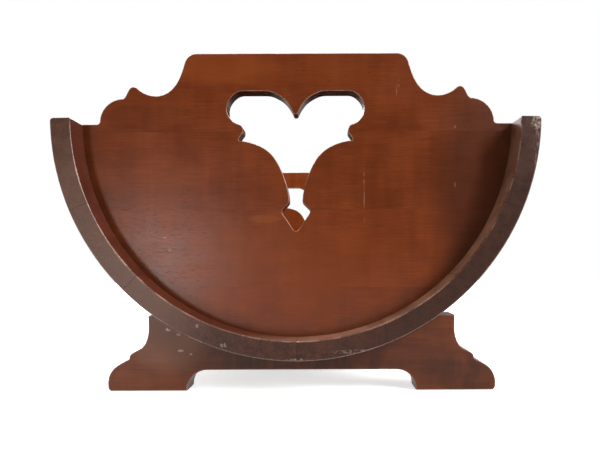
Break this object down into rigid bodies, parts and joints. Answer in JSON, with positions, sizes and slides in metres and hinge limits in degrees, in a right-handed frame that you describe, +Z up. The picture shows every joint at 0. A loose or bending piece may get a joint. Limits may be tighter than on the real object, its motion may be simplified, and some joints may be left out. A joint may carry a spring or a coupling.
{
  "type": "magazine rack",
  "caption": "Half-round coopered wooden trough on two scrolled bracket feet, with scrolled end panels pierced for carrying; holds magazines.",
  "frame": {"origin": "on the floor under the middle of the rack", "axes": "+Z up, +X to the right seen from the front end, +Y along the trough from the front end to the rear end"},
  "size_m": [0.412, 0.58, 0.2962],
  "materials": {
    "stave_wood": "satin",
    "panel_wood": "satin",
    "bracket_wood": "satin",
    "screw_steel": "dull"
  },
  "bodies": {
    "root": {"stave_1": "stave_wood", "stave_2": "stave_wood", "stave_3": "stave_wood", "stave_4": "stave_wood", "stave_5": "stave_wood", "stave_6": "stave_wood", "stave_7": "stave_wood", "stave_8": "stave_wood", "front_panel_top_board": "panel_wood", "front_panel_upper_board_left": "panel_wood", "front_panel_upper_board_right": "panel_wood", "front_panel_lower_board": "panel_wood", "front_panel_bottom_board": "panel_wood", "rear_panel_top_board": "panel_wood", "rear_panel_upper_board_left": "panel_wood", "rear_panel_upper_board_right": "panel_wood", "rear_panel_lower_board": "panel_wood", "rear_panel_bottom_board": "panel_wood", "front_bracket": "bracket_wood", "rear_bracket": "bracket_wood", "front_bracket_screws": "screw_steel", "rear_bracket_screws": "screw_steel"}
  },
  "joints": []
}
